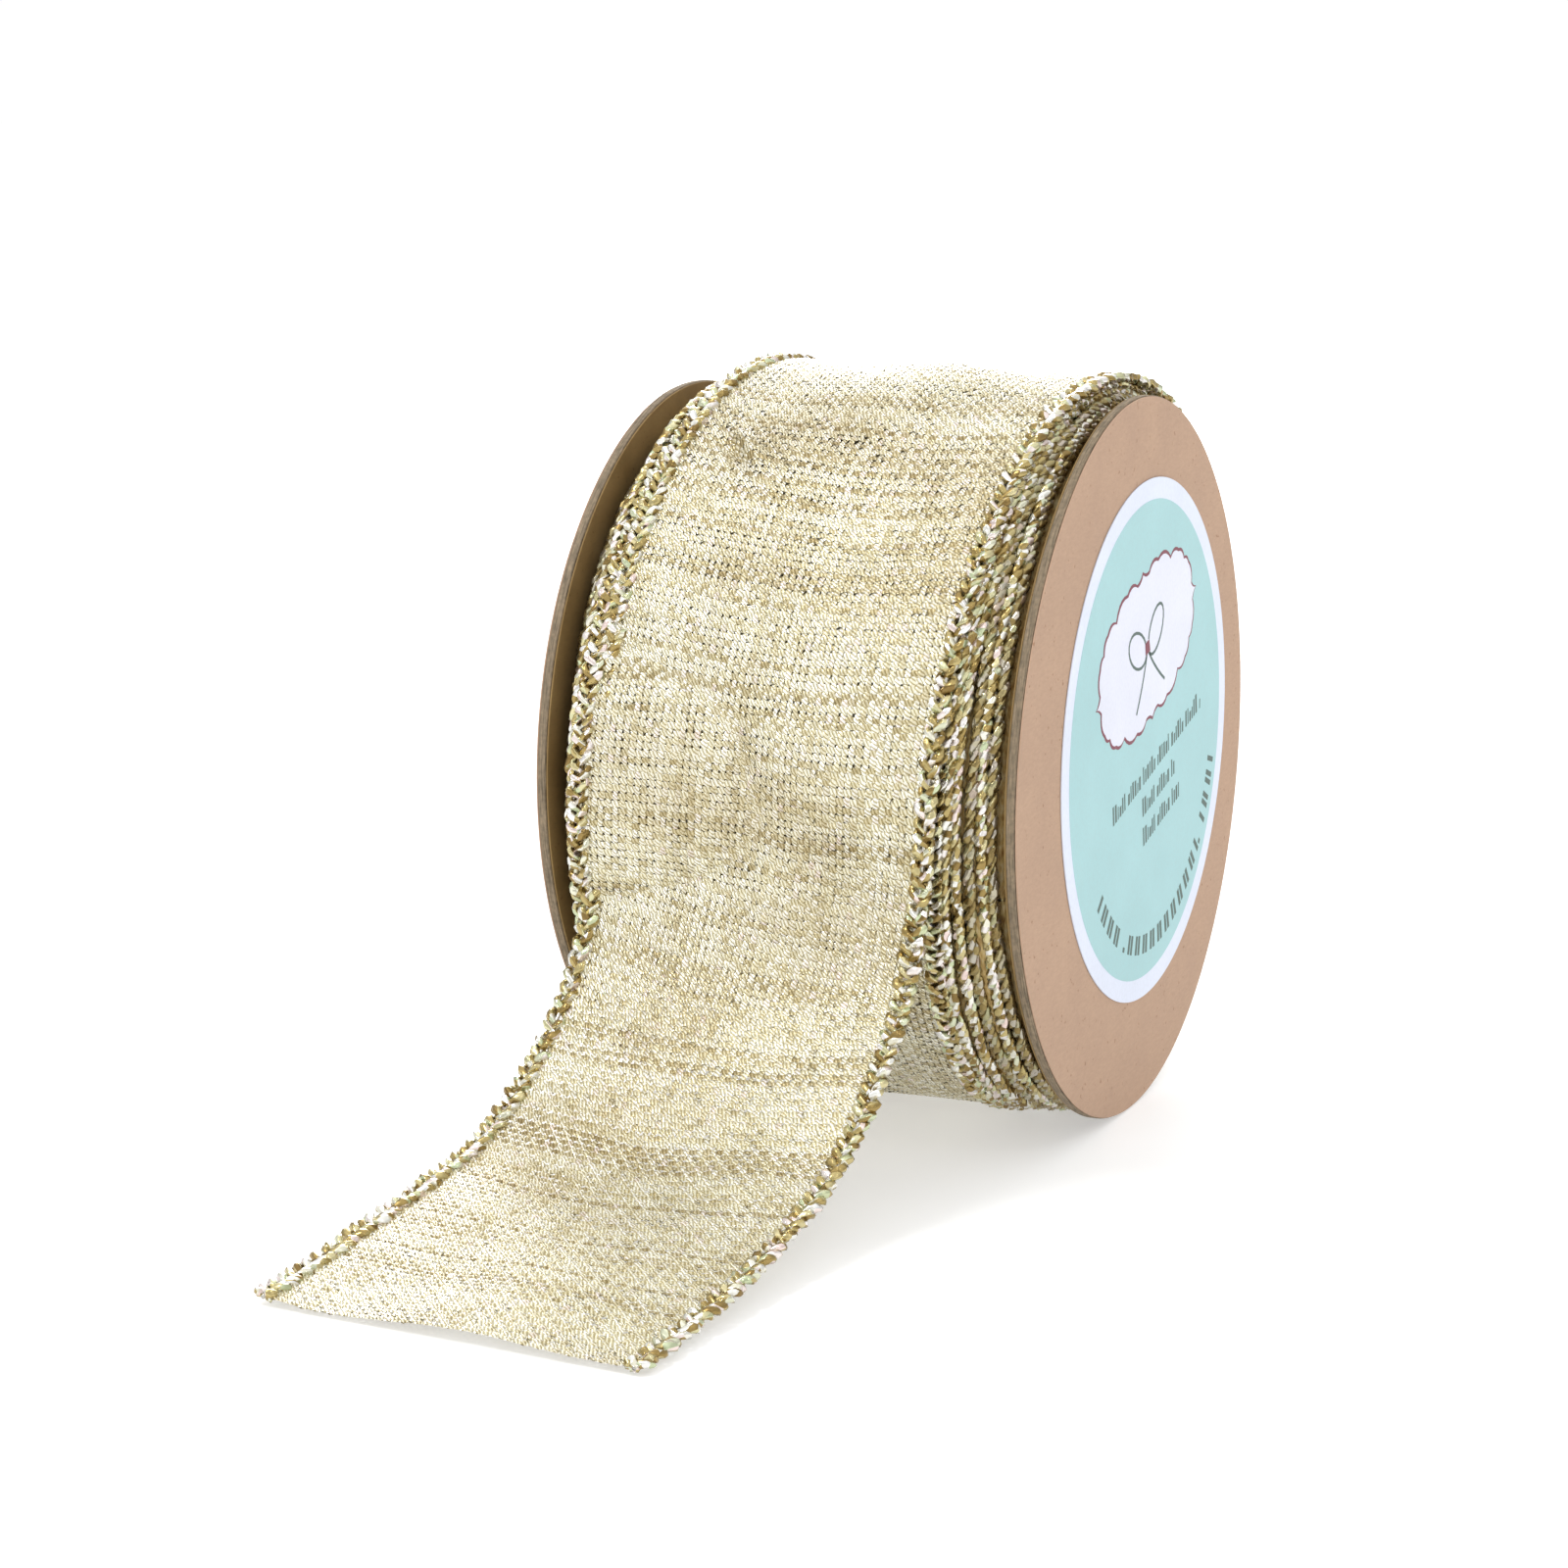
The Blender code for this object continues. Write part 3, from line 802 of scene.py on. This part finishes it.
def ride_as(piece, body, slot, *nodes):
    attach(piece, body)
    if nodes:
        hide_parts(*nodes)
    return piece


def web_pieces(name, line, strength, seed, cut, looks):
    """The two layers of one woven stretch as pieces that ride on the ribbon's end."""
    made = []
    for mesh, part in zip(woven_web(name, line, float(line[0][-1]), strength, seed, cut), ("warp", "weft")):
        made.append(ride_as(finish_piece(f"{name}_{part}", mesh, looks[part]), "ribbon_end", "metallic_web"))
    return made


def build_free_ribbon(looks):
    line = free_ribbon_line()
    web, weft = web_pieces("ribbon", line, 1.0, 11, True, looks)
    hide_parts("ribbon_tail")
    for side, sign, seed in (("left", -1, 21), ("right", 1, 22)):
        name = f"ribbon_edge_{side}"
        edge = finish_piece(name, plait(name, line, sign * EDGE_CENTRE, seed), looks["edge"])
        ride_as(edge, "ribbon_end", "metallic_edge", f"tail_edge_{side}")
    for side, sign in (("left", -1), ("right", 1)):
        name = f"ribbon_wire_{side}"
        inside = finish_piece(name, wire_mesh(name, line, sign * EDGE_CENTRE), looks["wire"])
        ride_as(inside, "ribbon_end", "edge_wire", f"tail_wire_{side}")


def build_second_turn(looks):
    line = second_turn_line()
    web, weft = web_pieces("second_turn", line, 0.25, 31, False, looks)
    for side, sign, seed in (("left", -1, 41), ("right", 1, 42)):
        name = f"second_turn_edge_{side}"
        mesh = plait(name, line, sign * EDGE_CENTRE, seed, PRESSED_LIFT, PRESSED_THREAD)
        ride_as(finish_piece(name, mesh, looks["edge"]), "ribbon_end", "metallic_edge")


def build_loose_edges(looks):
    """The wired edges of the turns under the second one, which show beside it."""
    for side, sign, rows, stop in (("right", 1, RIGHT_ROWS, RIGHT_STOP), ("left", -1, LEFT_ROWS, LEFT_STOP)):
        for place, (number, share) in enumerate(rows):
            def middle_at(angle, share=share):
                start = loose_middle(angle)
                sway = ROW_SWAY * math.sin(3 * angle + 9 * share) * math.sin(2 * angle + 4 * share)
                return start + (stop - start) * share + sign * EDGE_CENTRE + sway

            def radius_at(angle, number=number):
                return loose_radius(angle, number)

            line = round_line(TURN_END - 2 * math.pi, TURN_END, radius_at, middle_at)
            name = f"loose_edge_{side}_{place + 3}"
            mesh = rope(name, line, 50 + place + 5 * (sign < 0))
            look = looks["wound_edge" if place in PAINTED_SHADE_ROWS else "edge"]
            ride_as(finish_piece(name, mesh, look), "ribbon_end", "metallic_edge")


def build_third_turn(looks):
    """The web of the next turn in, a plain strip painted brown gold as painted shade, which shows between the
    edges.
    """
    line = round_line(TURN_END - 2 * math.pi, TURN_END, lambda angle: loose_radius(angle, THIRD_TURN),
                      lambda angle: THIRD_ASIDE)
    length = float(line[0][-1])
    rows, columns = 288, 40

    def place(column, row):
        aside = THIRD_HALF * (2 * column / columns - 1)
        return on_line(line, row * length / rows, aside, wrinkles(row * length / rows, aside, 0.3))

    mesh = joined("third_turn_web", [laid_grid(columns, rows, place)], weld=WELD)
    web = ride_as(finish_piece("third_turn_web", mesh, looks["under"]), "ribbon_end", "metallic_web")


def build_pack(looks):
    """The tight turns on the spool: their web, and the edges nearest the flanges."""
    pack_low, pack_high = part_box("wound_edge_left")[0].x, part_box("wound_edge_right")[1].x
    core_r = (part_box("core_outer_ply")[1].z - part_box("core_outer_ply")[0].z) / 2
    pack = turned_ring("wound_pack", core_r + 0.3 * MM, PACK_R, pack_low, pack_high, SPOOL_AXIS, 0.4 * MM)
    # The pack's web and rows take darker copies of the ribbon's materials: painted shade between the turns.
    ride_as(finish_piece("wound_pack", pack, looks["under"]), "spool", "metallic_web", "wound_ribbon")
    for side, sign in (("left", -1), ("right", 1)):
        meshes = []
        for place, aside in enumerate(PACK_ROWS):
            line = round_line(0.0, 2 * math.pi, lambda angle: PACK_ROW_R - PACK_ROW_DROP * place,
                              lambda angle: sign * aside)
            meshes.append(rope("row", line, 70 + place + 5 * (sign < 0)))
        name = f"wound_edge_{side}_rows"
        piece = finish_piece(name, joined(name, meshes), looks["wound_edge"])
        ride_as(piece, "spool", "metallic_edge", f"wound_edge_{side}")


def build_spool(looks):
    """The flanges' boards and liners, and the core's two plies."""
    for side in ("left", "right"):
        # Inner liners take the kraft with painted shade and a painted gold reflection.
        for part, look, slot in (("board", "board", "grey_board"),
                                 ("inner_liner", "liner_painted_shade", "kraft_liner"),
                                 ("outer_liner", "kraft", "kraft_liner")):
            node = f"{side}_flange_{part}"
            low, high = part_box(node)
            mesh = turned_ring(f"{node}_card", BORE_R, (high.z - low.z) / 2, low.x, high.x, SPOOL_AXIS,
                               min(CARD_EASE, (high.x - low.x) * 0.3), oval=FLANGE_OVAL)
            ride_as(finish_piece(f"{node}_card", mesh, looks[look]), "spool", slot, node)
    for node, inner in (("core_inner_ply", BORE_R), ("core_outer_ply", CORE_PLY_R)):
        low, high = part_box(node)
        outer = (high.z - low.z) / 2
        mesh = turned_ring(f"{node}_tube", inner, outer, low.x, high.x, SPOOL_AXIS, 0.05 * MM, 144)
        piece = finish_piece(f"{node}_tube", mesh, looks["core"])
        ride_as(piece, "spool", "core_paper", node)


def build_label(looks):
    """The label's paper and its print; each layer lies one ink's thickness over the one below."""
    low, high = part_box("label_sheet")
    centre = (low + high) / 2 + Vector((0, 0, LABEL_LIFT))
    face = high.x + INK

    def piece_of(name, mesh, look, *nodes):
        return ride_as(finish_piece(name, mesh, looks[look]), "spool", "label_paper", *nodes)

    border = turned_disc("label_border", LABEL_R, low.x, high.x, centre)
    piece_of("label_border", border, "label", "label_sheet")
    piece_of("label_mint", turned_disc("label_mint", MINT_R, high.x + INK / 10, face, centre), "mint")

    def patch(name, outlines, look, lift):
        """Flat inked shapes as one thin piece; each outline is (across, up) points in mm, before the tilt."""
        bm = bmesh.new()
        cos, sin = math.cos(PRINT_TILT), math.sin(PRINT_TILT)
        for outline in outlines:
            turned = [(a * cos - u * sin, a * sin + u * cos) for a, u in outline]
            bm.faces.new([bm.verts.new((face + lift, centre.y + a * MM, centre.z + u * MM))
                          for a, u in turned])
        bmesh.ops.remove_doubles(bm, verts=bm.verts, dist=INK / 20)
        bmesh.ops.triangulate(bm, faces=bm.faces[:])
        made = bmesh.ops.extrude_face_region(bm, geom=bm.faces[:])
        moved = [v for v in made["geom"] if isinstance(v, bmesh.types.BMVert)]
        bmesh.ops.translate(bm, verts=moved, vec=(INK, 0, 0))
        bmesh.ops.recalc_face_normals(bm, faces=bm.faces)
        mesh = bpy.data.meshes.new(name)
        bm.to_mesh(mesh)
        bm.free()
        piece_of(name, mesh, look)

    patch("label_plate_rim", [bracket_frame(0.0)], "maroon", 0.0)
    patch("label_plate", [bracket_frame(PLATE_RIM)], "plate", INK)
    patch("label_lines", text_bars(), "ink", 0.0)
    patch("label_arc_marks", arc_bars(), "ink", 0.0)
    strokes = [stroke(sign) for stroke in (bow_loop, bow_tail) for sign in (-1, 1)]
    patch("label_bow", [part for points in strokes for part in pen_line(points, PEN_HALF)], "ink", 2 * INK)
    knot = [(BOW_AT[0] + a, BOW_AT[1] + u) for a, u in KNOT]
    patch("label_knot", [knot], "maroon", 3 * INK)


def bow_loop(sign):
    """One loop of a tied bow on the print, as the points of a pen stroke."""
    points = []
    for step in range(19):
        t = 2 * math.pi * (0.06 + 0.88 * step / 18)
        reach = 5.2 * (1 - math.cos(t)) / 2
        points.append((BOW_AT[0] + sign * (0.3 + reach), BOW_AT[1] + 0.34 * reach + 1.9 * math.sin(t)))
    return points


def bow_tail(sign):
    """One tail of the bow."""
    return [(BOW_AT[0] + sign * (0.2 + 0.62 * k + 0.05 * k * k), BOW_AT[1] - 0.4 - 0.95 * k)
            for k in range(6)]


def bracket_frame(inset):
    """The outline of the print's white plate: a long bracket frame with small lobes between its points."""
    half = PLATE_QUARTER + [(-a, u) for a, u in PLATE_QUARTER[-2::-1]]
    corners = half + [(a, -u) for a, u in half[-2:0:-1]]
    outline = []
    for (a, u), (b, v) in zip(corners, corners[1:] + corners[:1]):
        pointed = min(abs(a), abs(b)) < 0.1 or max(abs(a), abs(b)) > PLATE_HALF_LONG
        bulge = -0.10 if pointed else 0.17
        for step in range(5):
            t = step / 5
            swell = bulge * 4 * t * (1 - t)
            outline.append((a + (b - a) * t + (v - u) * swell, u + (v - u) * t - (b - a) * swell))
    narrow, lower = 1 - inset / PLATE_HALF_LONG, 1 - inset / PLATE_HALF_HIGH
    return [(PLATE_AT[0] + a * narrow, PLATE_AT[1] + u * lower) for a, u in outline]


def pen_line(points, half):
    """A thin line of even width through these points, as a row of four-cornered outlines."""
    left, right = [], []
    for i, (a, u) in enumerate(points):
        (b, v), (c, w) = points[max(i - 1, 0)], points[min(i + 1, len(points) - 1)]
        run = math.hypot(c - b, w - v)
        off = (-(w - v) / run * half, (c - b) / run * half)
        left.append((a + off[0], u + off[1]))
        right.append((a - off[0], u - off[1]))
    return [list(corners) for corners in zip(right, right[1:], left[1:], left)]


def text_bars():
    """Upright strokes in three rows, where the print has its small lines."""
    bars = []
    for start, stop, foot in TEXT_ROWS:
        at, k = start, 0
        while at < stop:
            wide = 0.36 + 0.14 * math.sin(k * 2.4)
            top = foot + (1.35 + 0.40 * math.sin(k * 1.7) + (0.5 if k % 7 == 0 else 0))
            bars.append([(at, foot), (at + wide, foot), (at + wide + TEXT_SLANT, top),
                         (at + TEXT_SLANT, top)])
            at += wide + (WORD_GAP if k % WORD == WORD - 1 else TEXT_GAP)
            k += 1
    return bars


def arc_bars():
    """Pairs of short strokes along the print's lower rim."""
    bars = []
    foot = ARC_R - 0.9 + ARC_TALL
    for k in range(ARC_MARKS):
        if k in ARC_EMPTY:
            continue
        angle = math.radians(ARC_START + k * ARC_STEP + (ARC_PAIR if k % 2 else -ARC_PAIR))
        tall = ARC_DOT if k in ARC_DOTS else ARC_TALL
        cos, sin = math.cos(angle), math.sin(angle)
        corners = ((-ARC_HALF, tall), (ARC_HALF, tall), (ARC_HALF, 0.0), (-ARC_HALF, 0.0))
        bars.append([(ARC_AT[0] + cos * (foot - up) - sin * a, ARC_AT[1] + sin * (foot - up) + cos * a)
                     for a, up in corners])
    return bars


def turned_disc(name, radius, near, far, centre, steps=160):
    bm = bmesh.new()
    place = Matrix.Translation((near, centre.y, centre.z)) @ Matrix.Rotation(math.pi / 2, 4, "Y")
    bmesh.ops.create_circle(bm, cap_ends=True, segments=steps, radius=radius, matrix=place)
    made = bmesh.ops.extrude_face_region(bm, geom=bm.faces[:])
    moved = [v for v in made["geom"] if isinstance(v, bmesh.types.BMVert)]
    bmesh.ops.translate(bm, verts=moved, vec=(far - near, 0, 0))
    bmesh.ops.recalc_face_normals(bm, faces=bm.faces)
    mesh = bpy.data.meshes.new(name)
    bm.to_mesh(mesh)
    bm.free()
    return mesh


def dress_cad_nodes(looks):
    """Materials for the nodes that show as they are in the CAD."""
    for name, look in (("left_core_glue", "glue"), ("right_core_glue", "glue"), ("start_tape", "tape")):
        node = frame["nodes"][name]
        node.data.materials.clear()
        node.data.materials.append(looks[look])


# ---------------------------------------------------------------- the set

def build_stage():
    """A white floor, lit from within a little so that it stays white."""
    bm = bmesh.new()
    bmesh.ops.create_grid(bm, x_segments=1, y_segments=1, size=12.0)
    mesh = bpy.data.meshes.new("floor")
    bm.to_mesh(mesh)
    bm.free()
    made, tree, shader = new_material("white_floor")
    shader.inputs["Base Color"].default_value = (0.64, 0.64, 0.64, 1)
    shader.inputs["Roughness"].default_value = 0.9
    shader.inputs["Specular IOR Level"].default_value = 0.1
    shader.inputs["Emission Color"].default_value = (1, 1, 1, 1)
    shader.inputs["Emission Strength"].default_value = 0.44
    floor = finish_piece("floor", mesh, made)


def aimed(name, data, spot, direction):
    """An object at spot whose -Z axis points in this direction."""
    made = bpy.data.objects.new(name, data)
    bpy.context.scene.collection.objects.link(made)
    made.location = spot
    made.rotation_mode = "QUATERNION"
    made.rotation_quaternion = direction.to_track_quat("-Z", "Y")
    return made


def build_lights():
    world = bpy.data.worlds.new("studio")
    bpy.context.scene.world = world
    world.use_nodes = True
    tree = world.node_tree
    split = tree.nodes.new("ShaderNodeSeparateXYZ")
    tree.links.new(tree.nodes.new("ShaderNodeTexCoord").outputs["Generated"], split.inputs["Vector"])
    sky = shades(tree, split.outputs["Z"], *[(place, (level,) * 3) for place, level in SKY])
    tree.links.new(levels(tree, sky, 0, 1, 0, SKY_STRENGTH), tree.nodes["Background"].inputs["Strength"])
    tree.nodes["Background"].inputs["Color"].default_value = (1, 1, 1, 1)
    for name, spot, size, watts in LIGHTS:
        light = bpy.data.lights.new(name, "AREA")
        light.shape = "DISK"
        light.size = size
        light.energy = watts
        aimed(name, light, spot, Vector(LIGHTS_AIM) - Vector(spot))


def build_camera():
    camera = bpy.data.cameras.new("camera")
    camera.lens = LENS
    camera.sensor_width = SENSOR
    camera.clip_start, camera.clip_end = 0.01, 20
    a, e = CAMERA_AZIMUTH, CAMERA_ELEVATION
    back = Vector((math.sin(a) * math.cos(e), -math.cos(a) * math.cos(e), math.sin(e)))
    spot = SPOOL_AXIS + CAMERA_AIM + back * CAMERA_DISTANCE
    bpy.context.scene.camera = aimed("camera", camera, spot, -back)


bpy.context.scene.view_settings.view_transform = "Standard"
LOOKS = make_materials()
build_stage()
build_lights()
build_camera()
build_pack(LOOKS)
build_third_turn(LOOKS)
build_loose_edges(LOOKS)
build_second_turn(LOOKS)
build_free_ribbon(LOOKS)
build_spool(LOOKS)
build_label(LOOKS)
dress_cad_nodes(LOOKS)
